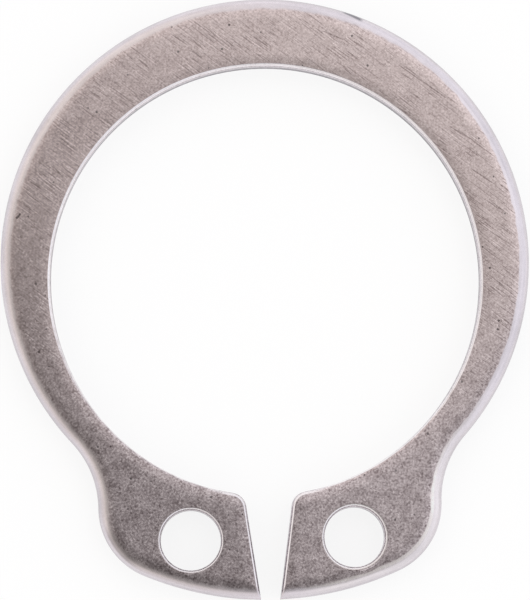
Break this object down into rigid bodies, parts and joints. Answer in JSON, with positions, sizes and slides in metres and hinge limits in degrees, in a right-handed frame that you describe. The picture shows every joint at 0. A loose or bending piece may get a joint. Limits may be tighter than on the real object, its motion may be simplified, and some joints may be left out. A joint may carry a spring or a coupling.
{
  "type": "external retaining ring",
  "caption": "Flat open spring-steel ring with drilled lugs beside a tapered gap; it springs into a groove on a shaft and keeps parts from sliding off.",
  "frame": {"origin": "on the bore axis, level with the flat underside", "axes": "+Z along the bore axis, towards the rolled upper edges; +Y away from the gap; +X across the lugs"},
  "size_m": [0.0158, 0.0181, 0.001],
  "materials": {
    "spring_steel": "bare spring steel, brushed on the face and burnished on the rolled edges"
  },
  "bodies": {
    "root": {"retaining_ring": "spring_steel"}
  },
  "joints": []
}
